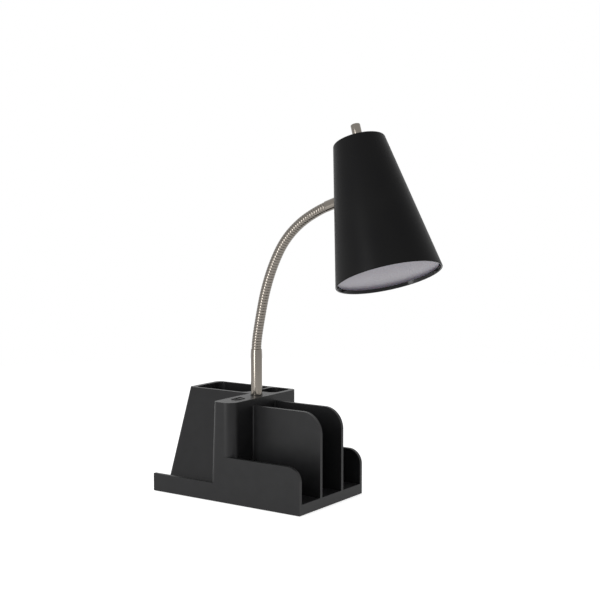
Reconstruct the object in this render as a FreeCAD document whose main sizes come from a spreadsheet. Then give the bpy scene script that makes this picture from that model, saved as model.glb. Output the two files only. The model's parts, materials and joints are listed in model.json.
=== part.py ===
import FreeCAD, Part

import math
import os

import Sketcher

# Desk lamp on a moulded desk organizer. Millimetres, +Z up, +Y to the rear.
# The origin is the centre of the footprint, on the surface that the feet stand on.
# The base is drawn from its own front left bottom corner and then placed; the
# head is drawn along its own axis from the centre of the shade's top and then placed.

SIZES = [
    # organizer base
    ("baseWidth", 210, "plinth, left to right"),
    ("baseDepth", 127.5, "plinth, front to rear"),
    ("plinthHeight", 11.9, "plinth's lower edge to the floor of the file slots"),
    ("footProud", 1, "how far the feet lift the plinth"),
    ("shellWall", 2.6, "wall of the moulded shell"),
    ("roofWall", 3, "top wall that carries the neck and the socket"),
    ("fenceThick", 4.2, "lip, front wall, dividers and rear wall"),
    ("lipHeight", 20.7, "tablet lip"),
    ("frontWallHeight", 52.5, "front wall"),
    ("frontWallRound", 16, "front wall's free corner"),
    ("dividerHeight", 106.7, "both file dividers"),
    ("dividerRound", 24, "dividers' free corner"),
    ("firstDividerAt", 40.2, "front face of the first divider"),
    ("secondDividerAt", 83, "front face of the second divider"),
    ("rearWallHeight", 52.2, "rear wall"),
    ("rearWallRound", 17, "rear wall's free corner"),
    ("rootRound", 1.5, "concave root where a wall meets the block"),
    ("blockWidth", 117, "pen block and column together"),
    ("blockTop", 114.6, "top of the column and the block's front edge"),
    ("blockFlare", 3, "how far the left side leans out at the top"),
    ("blockFrontRound", 5, "block's front left edge"),
    ("blockRearLeftRound", 8, "block's rear left edge"),
    ("blockRearRightRound", 7, "block's rear right edge"),
    ("panelFootAt", 25.9, "leaning panel at the floor of the ledge"),
    ("panelTopAt", 69.5, "leaning panel at the rim"),
    ("columnFootAt", 84, "column's left side at the floor"),
    ("columnTopAt", 89.5, "column's left side at the top"),
    ("columnLeftRound", 7, "column's front left edge"),
    ("columnRightRound", 13, "column's front right edge"),
    ("cupLeftAt", 3, "pen cup's left side"),
    ("cupRightAt", 80, "pen cup's right side"),
    ("cupRim", 4, "rim between the leaning panel and the cup"),
    ("cupFloorAt", 18, "pen cup's floor"),
    ("cupRound", 8, "upright corners of the cup and the clip tray"),
    ("trayLeftAt", 84, "clip tray's left side"),
    ("trayRightAt", 111, "clip tray's right side"),
    ("trayFrontAt", 89.5, "clip tray's front side"),
    ("trayDepth", 22, "clip tray, rim to floor"),
    ("pocketRearWall", 3.5, "wall behind the cup and the clip tray"),
    # underside
    ("plateThick", 2, "bottom plate"),
    ("plateGap", 0.3, "bottom plate to the plinth's wall"),
    ("footRadius", 7, "rubber foot"),
    ("footRecess", 1, "how deep a foot sits in the plate"),
    ("footInset", 22, "foot's centre to the plinth's edges"),
    ("bossInset", 9, "screw boss to the plinth's edges"),
    ("bossRadius", 3.6, "screw boss"),
    ("screwRadius", 1.5, "self-tapping screw's shank"),
    ("screwHeadRadius", 3, "self-tapping screw's head"),
    ("screwHeadHeight", 1.4, "self-tapping screw's head"),
    ("screwLength", 6.5, "self-tapping screw under its head"),
    ("screwGap", 0.2, "shank to the plate's hole"),
    ("ballastLeftAt", 96, "ballast's left side"),
    ("ballastGap", 3.4, "ballast to the right-hand screw bosses"),
    ("ballastDepth", 88, "ballast, front to rear"),
    ("ballastThick", 6.5, "steel ballast"),
    # cord bush
    ("bushAt", 60, "cord bush from the left side"),
    ("bushHeight", 8.6, "cord bush's axis above the plinth's lower edge"),
    ("bushBore", 2.6, "radius of the hole for the cord"),
    ("bushRadius", 4, "bush inside the wall"),
    ("bushFlange", 5.4, "bush's outer flange"),
    ("bushFlangeThick", 1.5, "bush's outer flange"),
    ("bushReach", 6, "bush behind its flange"),
    # socket
    ("socketAcross", 102, "socket's centre from the left side"),
    ("socketBack", 31.5, "socket's centre from the front"),
    ("bezelLength", 17, "bezel's flange, front to rear"),
    ("bezelWidth", 10.4, "bezel's flange, left to right"),
    ("bezelRound", 4, "bezel's corners"),
    ("bezelThick", 0.8, "bezel's flange"),
    ("bezelNeckLength", 15.2, "bezel inside the wall, front to rear"),
    ("bezelNeckWidth", 8.2, "bezel inside the wall, left to right"),
    ("socketLength", 13.1, "metal shell, front to rear"),
    ("socketWidth", 5.7, "metal shell, left to right"),
    ("socketDepth", 14, "metal shell, mouth to board"),
    ("socketWall", 0.4, "metal shell"),
    ("socketGap", 0.2, "shell to bezel and bezel to wall"),
    ("tongueLength", 11, "contact tongue, front to rear"),
    ("tongueWidth", 1.8, "contact tongue"),
    ("tongueShort", 2, "how far the tongue stays inside the mouth"),
    ("boardThick", 1.6, "circuit boards"),
    ("socketBoardLength", 34, "socket's board, front to rear"),
    ("socketBoardWidth", 18, "socket's board, left to right"),
    ("postRadius", 2.6, "board posts"),
    ("postInset", 3.5, "board post to the board's edge"),
    # power board
    ("powerBoardLength", 66, "power board, left to right"),
    ("powerBoardDepth", 36, "power board, front to rear"),
    ("powerBoardLeftAt", 10, "power board's left side"),
    ("powerBoardFrontAt", 33, "power board's front side"),
    ("powerBoardLift", 8, "posts of the power board"),
    ("transformerLength", 18, "transformer, left to right"),
    ("transformerDepth", 15, "transformer, front to rear"),
    ("transformerHeight", 16, "transformer"),
    ("canRadius", 5, "capacitors"),
    ("canHeight", 15, "capacitors"),
    # neck fixing
    ("neckAcross", 102.5, "neck's axis from the left side"),
    ("neckBack", 66.2, "neck's axis from the front"),
    ("nippleRadius", 5, "threaded nipple"),
    ("nippleBore", 3.4, "nipple's bore"),
    ("nippleUp", 15, "nipple above the top wall"),
    ("nippleDown", 10.5, "nipple below the top wall"),
    ("fixingGap", 0.1, "nipple to the holes around it"),
    ("anchorLength", 32, "anchor plate, front to rear"),
    ("anchorWidth", 17, "anchor plate, left to right"),
    ("anchorThick", 2, "anchor plate"),
    ("washerRadius", 8.2, "lock washer under the top wall"),
    ("washerThick", 1, "lock washers"),
    ("nutAcross", 14, "neck nut across its flats"),
    ("nutHeight", 5, "neck nut"),
    ("collarRadius", 8, "low collar at the foot of the sleeve"),
    ("collarHeight", 1.2, "collar"),
    ("sleeveRadius", 6.7, "straight sleeve"),
    ("sleeveHeight", 54, "straight sleeve"),
    ("sleeveBore", 5.9, "sleeve's bore around the hose"),
    # hose
    ("hoseRadius", 5.75, "flexible hose"),
    ("hoseBore", 2.5, "hose's bore"),
    ("hoseGap", 0.3, "cup to dome between two stretches"),
    ("ribPitch", 3.3, "rib to rib"),
    ("ribDepth", 0.45, "groove between two ribs"),
    ("ribWidth", 1.1, "groove at the surface"),
    ("rootHidden", 36, "hose inside the sleeve"),
    ("rootShown", 8, "hose from the sleeve to the first pivot"),
    ("stretchLength", 31.5, "pivot to pivot"),
    ("tipLength", 9, "hose from the last pivot to the ferrule"),
    ("lean1", 79, "first stretch above the horizontal, degrees"),
    ("lean2", 76.9, "second stretch, degrees"),
    ("lean3", 69.4, "third stretch, degrees"),
    ("lean4", 60.9, "fourth stretch, degrees"),
    ("lean5", 43.8, "fifth stretch, degrees"),
    ("lean6", 28.5, "sixth stretch, degrees"),
    ("leanTip", 19.6, "hose tip and ferrule, degrees"),
    # ferrule
    ("ferruleRadius", 6.1, "smooth ferrule"),
    ("spigotRadius", 4, "threaded spigot inside the shade"),
    ("spigotReach", 15, "spigot past the shade's seat"),
    ("shadeNutAcross", 12, "shade nut across its flats"),
    ("shadeNutHeight", 5, "shade nut"),
    ("shadeWasherRadius", 7.4, "washer inside the shade"),
    # shade
    ("shadeTopRadius", 28.8, "shade's top"),
    ("shadeRimRadius", 58.4, "shade's rim"),
    ("shadeLength", 157.3, "shade along its axis"),
    ("shadeWall", 1.8, "shade's wall across the axis"),
    ("shadeRoof", 2.2, "shade's top"),
    ("shadeRoll", 7.9, "how far the shade leans to the front, degrees"),
    ("neckDrop", 55.2, "neck's axis below the shade's top"),
    ("headReach", 67.4, "last pivot to the shade's axis"),
    ("padRadius", 7.6, "flat seat for the ferrule"),
    ("padProud", 0.2, "how far the seat stands out of the shade's cone"),
    ("padThick", 8.2, "seat, outer face to inner face"),
    ("ledgeThick", 2, "ledges inside the shade"),
    ("ledgeReach", 2.6, "ledges inside the shade"),
    ("diffuserRecess", 3.4, "diffuser above the rim"),
    ("diffuserThick", 2, "diffuser"),
    ("discGap", 0.25, "discs to the shade's wall"),
    ("heatPlateRise", 33.3, "heat plate's seat above the rim"),
    ("heatPlateThick", 1.5, "heat plate"),
    ("ledBoardRadius", 41, "light board"),
    ("chipSize", 5, "light chip"),
    ("chipHeight", 0.9, "light chip"),
    ("innerRing", 14, "radius of the inner ring of chips"),
    ("outerRing", 31, "radius of the outer ring of chips"),
    ("reflectorWall", 1, "white reflector"),
    ("reflectorTop", 42, "reflector's radius at the light board"),
    ("driverLength", 52, "driver box"),
    ("driverWidth", 26, "driver box"),
    ("driverHeight", 15, "driver box"),
    ("boltRadius", 1.2, "screws of the heat plate and the boards"),
    ("boltHeadRadius", 2.4, "screws of the heat plate and the boards"),
    ("boltHeadHeight", 1.4, "screws of the heat plate and the boards"),
    ("boltLength", 4, "screws of the heat plate and the boards, with the plate"),
    ("boltInset", 3.1, "screws of the heat plate to the shade's wall"),
    ("boltBossRadius", 3, "bosses for the heat plate's screws"),
    # switch
    ("switchRadius", 9.5, "switch body"),
    ("switchHeight", 17, "switch body"),
    ("bushingRadius", 4.8, "switch's threaded bushing"),
    ("bushingUp", 3.4, "bushing above the shade's top"),
    ("shaftRadius", 3, "switch's shaft"),
    ("shaftGap", 0.1, "shaft to the bushing"),
    ("shaftUp", 15, "shaft above the shade's top"),
    ("shaftDown", 10, "shaft below the shade's top"),
    ("ringNutRadius", 7.4, "round nut on the bushing"),
    ("ringNutHeight", 2.4, "round nut on the bushing"),
    ("knobRadius", 5.4, "knob"),
    ("knobBottom", 3.8, "knob above the shade's top"),
    ("knobTop", 19.6, "knob's end above the shade's top"),
    ("knobRound", 0.6, "knob's upper edge"),
    ("setScrewRadius", 1.2, "knob's set screw"),
    ("setScrewAt", 9.4, "knob's set screw above the shade's top"),
]

INNER_CHIPS = 6
OUTER_CHIPS = 12
HEAT_PLATE_SCREWS = 3

# An edge counts as upright from this upward share of its direction, and as being at a
# place when its middle is this near to it.
UPRIGHT_FROM = 0.8
PICK_WITHIN = 0.2


class Size:
    """A number together with the spreadsheet expression that gives it."""

    def __init__(self, value, text):
        self.value = value
        self.text = text

    def __add__(self, other):
        return combine(self, "+", other)

    def __radd__(self, other):
        return combine(other, "+", self)

    def __sub__(self, other):
        return combine(self, "-", other)

    def __rsub__(self, other):
        return combine(other, "-", self)

    def __mul__(self, other):
        return combine(self, "*", other)

    def __rmul__(self, other):
        return combine(other, "*", self)

    def __truediv__(self, other):
        return combine(self, "/", other)

    def __neg__(self):
        return combine(0, "-", self)

    def __float__(self):
        return float(self.value)


def as_size(number):
    return number if isinstance(number, Size) else Size(number, repr(number))


def combine(left, sign, right):
    left, right = as_size(left), as_size(right)
    value = {
        "+": lambda: left.value + right.value,
        "-": lambda: left.value - right.value,
        "*": lambda: left.value * right.value,
        "/": lambda: left.value / right.value,
    }[sign]()
    return Size(value, "(%s %s %s)" % (left.text, sign, right.text))


def root(size):
    return Size(math.sqrt(size.value), "sqrt(%s)" % size.text)


doc = FreeCAD.newDocument("deskLamp")
sheet = doc.addObject("Spreadsheet::Sheet", "Sizes")


class Spec:
    """Every driving size, by name."""


def fill_sheet():
    spec = Spec()
    for row, (alias, value, note) in enumerate(SIZES, start=1):
        sheet.set("A%d" % row, alias)
        sheet.set("B%d" % row, str(value))
        sheet.set("C%d" % row, note)
        sheet.setAlias("B%d" % row, alias)
        setattr(spec, alias, Size(value, "Sizes." + alias))
    doc.recompute()
    return spec


s = fill_sheet()
pieces = []


# ---------------------------------------------------------------- helpers

def bind(thing, prop, size):
    size = as_size(size)
    thing.setExpression(prop, size.text)


def shift(thing, across, back, up):
    for axis, size in zip("xyz", (across, back, up)):
        bind(thing, "Placement.Base." + axis, size)


def keep(thing, label):
    if thing.TypeId in ("Part::Box", "Part::Cylinder"):
        raise RuntimeError(label + " would be moved back by its own sizes, so it is grouped")
    thing.Label = label
    pieces.append(thing)
    return thing


def plane_of(body, role):
    return next(item for item in body.Origin.OriginFeatures if item.Role == role)


def new_body(name):
    return doc.addObject("PartDesign::Body", name)


def place_corner(sketch, index, position, across, up):
    """Bind one corner of a sketch to its two sizes, measured from the sketch's origin."""
    for kind, size, axis in (("DistanceX", as_size(across), -2), ("DistanceY", as_size(up), -1)):
        if size.value == 0:
            sketch.addConstraint(Sketcher.Constraint("PointOnObject", index, position, axis))
        else:
            made = sketch.addConstraint(
                Sketcher.Constraint(kind, -1, 1, index, position, float(size)))
            sketch.setExpression("Constraints[%d]" % made, size.text)


def flat(across, up):
    return FreeCAD.Vector(float(across), float(up), 0)


def arc_between(start, end, centre):
    middle = (start + end) / 2 - centre
    middle.Length = (start - centre).Length
    return Part.Arc(start, centre + middle, end)


def outline(body, role, corners, offset=0):
    """A closed sketch through the corners, which are (across, up) pairs of sizes.
    A corner that has a radius and a centre as well is reached along that arc."""
    sketch = body.newObject("Sketcher::SketchObject", "Sketch")
    sketch.AttachmentSupport = [(plane_of(body, role), "")]
    sketch.MapMode = "FlatFace"
    bind(sketch, "AttachmentOffset.Base.z", offset)
    count = len(corners)
    ends = []
    for index in range(count):
        here, there = corners[index], corners[(index + 1) % count]
        start, end = flat(*here[:2]), flat(*there[:2])
        if len(there) == 4:
            sketch.addGeometry(arc_between(start, end, flat(*there[3])), False)
        else:
            sketch.addGeometry(Part.LineSegment(start, end), False)
        forward = sketch.getPoint(index, 1).isEqual(start, 1e-6)
        ends.append((1, 2) if forward else (2, 1))
    for index in range(count):
        after = (index + 1) % count
        sketch.addConstraint(Sketcher.Constraint(
            "Coincident", index, ends[index][1], after, ends[after][0]))
        place_corner(sketch, index, ends[index][1], *corners[after][:2])
        if len(corners[after]) == 4:
            radius = as_size(corners[after][2])
            made = sketch.addConstraint(Sketcher.Constraint("Radius", index, float(radius)))
            sketch.setExpression("Constraints[%d]" % made, radius.text)
    return sketch


def rectangle(left, front, right, rear):
    return [(left, front), (right, front), (right, rear), (left, rear)]


def prism(name, role, corners, length, offset=0, reversed_pad=False):
    """A body padded from one outline. The XZ plane faces the front, so a pad
    from it runs to the rear when it is reversed."""
    body = new_body(name)
    pad = body.newObject("PartDesign::Pad", "Pad")
    pad.Profile = outline(body, role, corners, offset)
    bind(pad, "Length", length)
    pad.Reversed = reversed_pad
    return body


def trim(body, role, corners, length):
    """Cut one outline out of a body. From the XZ plane the cut runs to the rear."""
    doc.recompute()
    before = body.Shape.Volume
    pocket_cut = body.newObject("PartDesign::Pocket", "Pocket")
    pocket_cut.Profile = outline(body, role, corners)
    bind(pocket_cut, "Length", length)
    pocket_cut.Reversed = False
    doc.recompute()
    if pocket_cut.Shape.Volume >= before:
        raise RuntimeError("nothing was cut from " + body.Name)
    return body


def upright(name, corners, bottom, height):
    return prism(name, "XY_Plane", corners, height, bottom)


def to_rear(name, corners, front, length):
    return prism(name, "XZ_Plane", corners, length, -front, True)


def turned(name, corners):
    """A body turned about its own Z axis from a half section of (radius, height) pairs."""
    body = new_body(name)
    turn = body.newObject("PartDesign::Revolution", "Revolution")
    sketch = outline(body, "XZ_Plane", corners)
    turn.Profile = sketch
    turn.ReferenceAxis = (sketch, ["V_Axis"])
    turn.Angle = 360
    return body


def tube_section(inner, outer, bottom, top):
    return [(inner, bottom), (outer, bottom), (outer, top), (inner, top)]


def round_edges(body, picks, radius):
    """Fillet the edges that a rule picks from the body as it stands."""
    doc.recompute()
    tip = body.Tip
    names = []
    for index, edge in enumerate(tip.Shape.Edges, start=1):
        middle = edge.valueAt((edge.FirstParameter + edge.LastParameter) / 2)
        along = edge.tangentAt((edge.FirstParameter + edge.LastParameter) / 2)
        if picks(middle, along):
            names.append("Edge%d" % index)
    if not names:
        raise RuntimeError("no edge to round on " + body.Name)
    fillet = body.newObject("PartDesign::Fillet", "Fillet")
    fillet.Base = (tip, names)
    bind(fillet, "Radius", radius)
    return body


def steep(along):
    return abs(along.z) > UPRIGHT_FROM


def near(number, size):
    return abs(number - float(size)) < PICK_WITHIN


def box(length, depth, height, across, back, up):
    thing = doc.addObject("Part::Box", "Box")
    bind(thing, "Length", length)
    bind(thing, "Width", depth)
    bind(thing, "Height", height)
    shift(thing, across, back, up)
    return thing


def rod(radius, height, across=0, back=0, up=0):
    thing = doc.addObject("Part::Cylinder", "Cylinder")
    bind(thing, "Radius", radius)
    bind(thing, "Height", height)
    shift(thing, across, back, up)
    return thing


def lying_rod(radius, length, across, back, up, turn):
    """A cylinder along the direction that the turn gives its Z axis."""
    thing = rod(radius, length, across, back, up)
    thing.Placement.Rotation = turn
    return thing


def fuse(name, things):
    thing = doc.addObject("Part::MultiFuse", name)
    thing.Shapes = things
    return thing


def cut(name, base, tool):
    thing = doc.addObject("Part::Cut", name)
    thing.Base = base
    thing.Tool = tool
    return thing


def group(name, things):
    """Solids that are placed together as one node."""
    thing = doc.addObject("Part::Compound", name)
    thing.Links = things
    return thing


def hexagon(across_flats):
    """Corners of a hexagon with two flats facing the front and the rear."""
    corner = across_flats / root(as_size(3))
    half = corner / 2
    side = across_flats / 2
    return [(corner, 0), (half, side), (-half, side), (-corner, 0), (-half, -side), (half, -side)]


TO_REAR = FreeCAD.Rotation(FreeCAD.Vector(1, 0, 0), -90)
TO_RIGHT = FreeCAD.Rotation(FreeCAD.Vector(0, 1, 0), 90)


def set_on_base(thing):
    """Move a piece from the base's own corner to the model's frame."""
    shift(thing, -s.baseWidth / 2, -s.baseDepth / 2, s.footProud)
    return thing


# ---------------------------------------------------------------- housing

def rounded_panel(name, left, right, height, radius, front):
    """An upright wall from the plinth's lower edge, rounded at its free upper corner."""
    corners = [(left, 0), (right, 0), (right, height - radius),
               (right - radius, height, radius, (right - radius, height - radius)),
               (left, height)]
    return to_rear(name, corners, front, s.fenceThick)


def pen_block():
    """The block leans back in front and leans out on its left."""
    side = [(s.panelFootAt, s.plinthHeight), (s.baseDepth, s.plinthHeight),
            (s.baseDepth, s.blockTop), (s.panelTopAt, s.blockTop)]
    body = prism("penBlock", "YZ_Plane", side, s.blockWidth + s.blockFlare, -s.blockFlare)
    flare = [(-s.blockFlare, s.plinthHeight), (0, s.plinthHeight), (-s.blockFlare, s.blockTop)]
    trim(body, "XZ_Plane", flare, s.baseDepth)
    round_edges(body, lambda middle, along: steep(along) and middle.x < 0
                and middle.y < s.panelTopAt.value, s.blockFrontRound)
    round_edges(body, lambda middle, along: steep(along) and near(middle.y, s.baseDepth)
                and middle.x < 0, s.blockRearLeftRound)
    round_edges(body, lambda middle, along: steep(along) and near(middle.y, s.baseDepth)
                and near(middle.x, s.blockWidth), s.blockRearRightRound)
    return body


def column():
    corners = [(s.columnFootAt, 0), (s.blockWidth, 0),
               (s.blockWidth, s.blockTop), (s.columnTopAt, s.blockTop)]
    body = to_rear("column", corners, 0, s.panelTopAt + s.shellWall)
    round_edges(body, lambda middle, along: steep(along) and near(middle.y, 0)
                and middle.x < s.columnTopAt.value, s.columnLeftRound)
    round_edges(body, lambda middle, along: steep(along) and near(middle.y, 0)
                and near(middle.x, s.blockWidth), s.columnRightRound)
    return body


def wall_root(front, height):
    """Concave corner between the block's right side and the front of a wall."""
    inside = s.fenceThick / 2
    edge = s.blockWidth
    corners = [(edge - inside, front + inside), (edge - inside, front - s.rootRound),
               (edge, front - s.rootRound),
               (edge + s.rootRound, front, s.rootRound,
                (edge + s.rootRound, front - s.rootRound)),
               (edge + s.rootRound, front + inside)]
    return upright("wallRoot", corners, 0, height)


def housing_outside():
    plinth = box(s.baseWidth, s.baseDepth, s.plinthHeight, 0, 0, 0)
    hidden_end = s.blockWidth - s.columnRightRound - s.fenceThick
    lip = box(hidden_end, s.fenceThick, s.lipHeight, 0, 0, 0)
    block_side = s.blockWidth - s.fenceThick
    rear_wall_at = s.baseDepth - s.fenceThick
    walls = [
        rounded_panel("frontWall", hidden_end, s.baseWidth, s.frontWallHeight,
                      s.frontWallRound, as_size(0)),
        rounded_panel("firstDivider", block_side, s.baseWidth, s.dividerHeight,
                      s.dividerRound, s.firstDividerAt),
        rounded_panel("secondDivider", block_side, s.baseWidth, s.dividerHeight,
                      s.dividerRound, s.secondDividerAt),
        rounded_panel("rearWall", block_side, s.baseWidth, s.rearWallHeight,
                      s.rearWallRound, rear_wall_at),
    ]
    roots = [
        wall_root(s.firstDividerAt, s.dividerHeight),
        wall_root(s.secondDividerAt, s.dividerHeight),
        wall_root(rear_wall_at, s.rearWallHeight),
    ]
    return fuse("housingOutside", [plinth, lip, pen_block(), column()] + walls + roots)


def pocket(name, left, right, front, floor):
    """A pocket that is open at the top of the block."""
    corners = rectangle(left, front, right, s.baseDepth - s.pocketRearWall)
    body = upright(name, corners, floor, s.blockTop - floor + s.shellWall)
    return round_edges(body, lambda middle, along: steep(along), s.cupRound)


def panel_slope():
    return (s.panelTopAt - s.panelFootAt) / (s.blockTop - s.plinthHeight)


def wedge_cavity():
    """The space between the leaning panel and the cup's front wall."""
    slope = panel_slope()
    skin = s.shellWall * root(1 + slope * slope)
    bottom = s.plinthHeight / 2
    rear = s.panelTopAt + s.cupRim - s.shellWall
    foot = s.panelFootAt + skin - slope * bottom
    top_front = rear - s.shellWall
    top = s.plinthHeight + (top_front - s.panelFootAt - skin) / slope
    corners = [(foot, bottom), (rear, bottom), (rear, top), (top_front, top)]
    right = s.columnTopAt + s.shellWall * 2
    return prism("wedgeCavity", "YZ_Plane", corners, right - s.shellWall, s.shellWall)


def column_cavity():
    inner_right = s.blockWidth - s.shellWall
    corners = rectangle(s.columnTopAt + s.shellWall, s.shellWall,
                        inner_right, s.trayFrontAt - s.shellWall)
    body = upright("columnCavity", corners, 0, s.blockTop - s.roofWall)
    return round_edges(body, lambda middle, along: steep(along) and near(middle.x, inner_right)
                       and near(middle.y, s.shellWall), s.columnRightRound - s.shellWall)


def cavity_under(name, left, right, front, top, corner_at, outer_round):
    rear = s.baseDepth - s.shellWall
    body = upright(name, rectangle(left, front, right, rear), 0, top)
    return round_edges(body, lambda middle, along: steep(along) and near(middle.x, corner_at)
                       and near(middle.y, rear), outer_round - s.shellWall)


def housing_cavities():
    plinth = box(s.baseWidth - s.shellWall * 2, s.baseDepth - s.shellWall * 2,
                 s.plinthHeight - s.shellWall, s.shellWall, s.shellWall, 0)
    cup_side = s.cupRightAt + s.shellWall
    under_cup = cavity_under("underCup", s.shellWall, cup_side, s.panelFootAt + s.shellWall,
                             s.cupFloorAt - s.shellWall, s.shellWall, s.blockRearLeftRound)
    under_tray = cavity_under("underTray", s.cupRightAt + s.shellWall / 2,
                              s.blockWidth - s.shellWall, s.trayFrontAt - s.shellWall * 2,
                              s.blockTop - s.trayDepth - s.shellWall,
                              s.blockWidth - s.shellWall, s.blockRearRightRound)
    cup = pocket("cupPocket", s.cupLeftAt, s.cupRightAt, s.panelTopAt + s.cupRim, s.cupFloorAt)
    tray = pocket("trayPocket", s.trayLeftAt, s.trayRightAt, s.trayFrontAt,
                  s.blockTop - s.trayDepth)
    return fuse("housingCavities", [plinth, wedge_cavity(), column_cavity(), under_cup,
                                    under_tray, cup, tray])


def boss_places():
    """Screw bosses at the plinth's corners, with the level each one grows from."""
    right = s.baseWidth - s.bossInset
    rear = s.baseDepth - s.bossInset
    floor = s.plinthHeight - s.shellWall / 2
    under_cup = s.cupFloorAt - s.shellWall / 2
    return [(s.bossInset, s.bossInset, floor), (right, s.bossInset, floor),
            (right, rear, floor), (s.bossInset, rear, under_cup)]


def socket_post_places():
    reach = s.socketBoardLength / 2 - s.postInset
    return [s.socketBack - reach, s.socketBack + reach]


def mouth_level():
    return s.blockTop + s.bezelThick - s.socketWall


def socket_board_top():
    return mouth_level() - s.socketDepth


def housing():
    shell = cut("housingShell", housing_outside(), housing_cavities())
    bosses = [rod(s.bossRadius, top - s.plateThick, across, back, s.plateThick)
              for across, back, top in boss_places()]
    roof_under = s.blockTop - s.roofWall / 2
    posts = [rod(s.postRadius, roof_under - socket_board_top(), s.socketAcross, back,
                 socket_board_top()) for back in socket_post_places()]
    solid = fuse("housingSolid", [shell] + bosses + posts)
    pilot = s.screwRadius + s.fixingGap / 2
    holes = [rod(pilot, s.screwLength + s.screwHeadHeight - s.plateThick + s.fixingGap,
                 across, back, s.plateThick) for across, back, top in boss_places()]
    board_pilot = s.boltRadius + s.fixingGap / 2
    holes += [rod(board_pilot, s.boltLength, s.socketAcross, back, socket_board_top())
              for back in socket_post_places()]
    holes.append(rod(s.nippleRadius + s.fixingGap, s.roofWall * 2, s.neckAcross, s.neckBack,
                     s.blockTop - s.roofWall * 1.5))
    across = s.bezelNeckWidth + s.socketGap * 2
    back = s.bezelNeckLength + s.socketGap * 2
    holes.append(box(across, back, s.roofWall * 2, s.socketAcross - across / 2,
                     s.socketBack - back / 2, s.blockTop - s.roofWall * 1.5))
    holes.append(lying_rod(s.bushRadius + s.fixingGap, s.fenceThick * 2, s.bushAt,
                           s.baseDepth - s.fenceThick, s.bushHeight, TO_REAR))
    whole = cut("housing", solid, fuse("housingHoles", holes))
    return keep(set_on_base(whole), "organizer_housing")


# ---------------------------------------------------------------- underside

def foot_places():
    right = s.baseWidth - s.footInset
    rear = s.baseDepth - s.footInset
    return [(s.footInset, s.footInset), (right, s.footInset), (right, rear), (s.footInset, rear)]


def power_post_places():
    left = s.powerBoardLeftAt + s.postInset
    front = s.powerBoardFrontAt + s.postInset
    right = s.powerBoardLeftAt + s.powerBoardLength - s.postInset
    rear = s.powerBoardFrontAt + s.powerBoardDepth - s.postInset
    return [(left, front), (right, front), (right, rear), (left, rear)]


def power_board_level():
    return s.plateThick + s.powerBoardLift


def bottom_plate():
    inset = s.shellWall + s.plateGap
    plate = box(s.baseWidth - inset * 2, s.baseDepth - inset * 2, s.plateThick, inset, inset, 0)
    posts = [rod(s.postRadius, s.powerBoardLift + s.plateThick / 2, across, back, s.plateThick / 2)
             for across, back in power_post_places()]
    holes = []
    for across, back, _ in boss_places():
        holes.append(rod(s.screwRadius + s.screwGap, s.plateThick, across, back, 0))
        holes.append(rod(s.screwHeadRadius + s.screwGap, s.screwHeadHeight, across, back, 0))
    for across, back in foot_places():
        holes.append(rod(s.footRadius + s.fixingGap, s.footRecess, across, back, 0))
    for across, back in power_post_places():
        holes.append(rod(s.boltRadius + s.fixingGap / 2, s.boltLength, across, back,
                         power_board_level() - s.boltLength))
    whole = cut("bottomPlate", fuse("plateSolid", [plate] + posts), fuse("plateHoles", holes))
    return keep(set_on_base(whole), "bottom_plate")


def rubber_feet():
    feet = [rod(s.footRadius, s.footProud + s.footRecess, across, back, -s.footProud)
            for across, back in foot_places()]
    return keep(set_on_base(group("feet", feet)), "rubber_feet")


def screw(head_radius, head_height, shank_radius, shank_length, across, back, up, headed_down):
    """One screw on a vertical axis. Up is the level of the face that its head bears on."""
    if headed_down:
        head = rod(head_radius, head_height, across, back, up - head_height)
        shank = rod(shank_radius, shank_length + head_height / 2, across, back,
                    up - head_height / 2)
    else:
        head = rod(head_radius, head_height, across, back, up)
        shank = rod(shank_radius, shank_length + head_height / 2, across, back,
                    up - shank_length)
    return fuse("screw", [head, shank])


def plate_screws():
    screws = [screw(s.screwHeadRadius, s.screwHeadHeight, s.screwRadius, s.screwLength,
                    across, back, s.screwHeadHeight, True) for across, back, _ in boss_places()]
    return keep(set_on_base(group("plateScrews", screws)), "bottom_screws")


def ballast():
    back = (s.baseDepth - s.ballastDepth) / 2
    right = s.baseWidth - s.bossInset - s.bossRadius - s.ballastGap
    slab = box(right - s.ballastLeftAt, s.ballastDepth, s.ballastThick, s.ballastLeftAt, back,
               s.plateThick)
    return keep(set_on_base(group("ballastSlab", [slab])), "steel_ballast")


def cord_bush():
    section = [(s.bushBore, -s.bushReach), (s.bushRadius, -s.bushReach), (s.bushRadius, 0),
               (s.bushFlange, 0), (s.bushFlange, s.bushFlangeThick),
               (s.bushBore, s.bushFlangeThick)]
    bush = turned("cordBush", section)
    bush.Placement.Rotation = TO_REAR
    shift(bush, s.bushAt - s.baseWidth / 2, s.baseDepth / 2, s.bushHeight + s.footProud)
    return keep(bush, "cord_bush")


# ---------------------------------------------------------------- boards in the base

def power_board():
    board = box(s.powerBoardLength, s.powerBoardDepth, s.boardThick, s.powerBoardLeftAt,
                s.powerBoardFrontAt, power_board_level())
    holes = [rod(s.boltRadius + s.fixingGap, s.boardThick, across, back, power_board_level())
             for across, back in power_post_places()]
    whole = cut("powerBoard", board, fuse("boardHoles", holes))
    return keep(set_on_base(whole), "power_board")


def power_board_middle():
    return (s.powerBoardLeftAt + s.powerBoardLength / 2,
            s.powerBoardFrontAt + s.powerBoardDepth / 2)


def transformer():
    across, back = power_board_middle()
    level = power_board_level() + s.boardThick
    coil = box(s.transformerLength, s.transformerDepth, s.transformerHeight,
               across - s.transformerLength / 2, back - s.transformerDepth / 4, level)
    return keep(set_on_base(group("coilBlock", [coil])), "transformer")


def capacitors():
    across, back = power_board_middle()
    level = power_board_level() + s.boardThick
    reach = s.transformerLength / 2 + s.canRadius * 1.5
    cans = [rod(s.canRadius, s.canHeight, across + side * reach, back + s.canRadius / 2, level)
            for side in (-1, 1)]
    return keep(set_on_base(group("cans", cans)), "capacitors")


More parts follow.
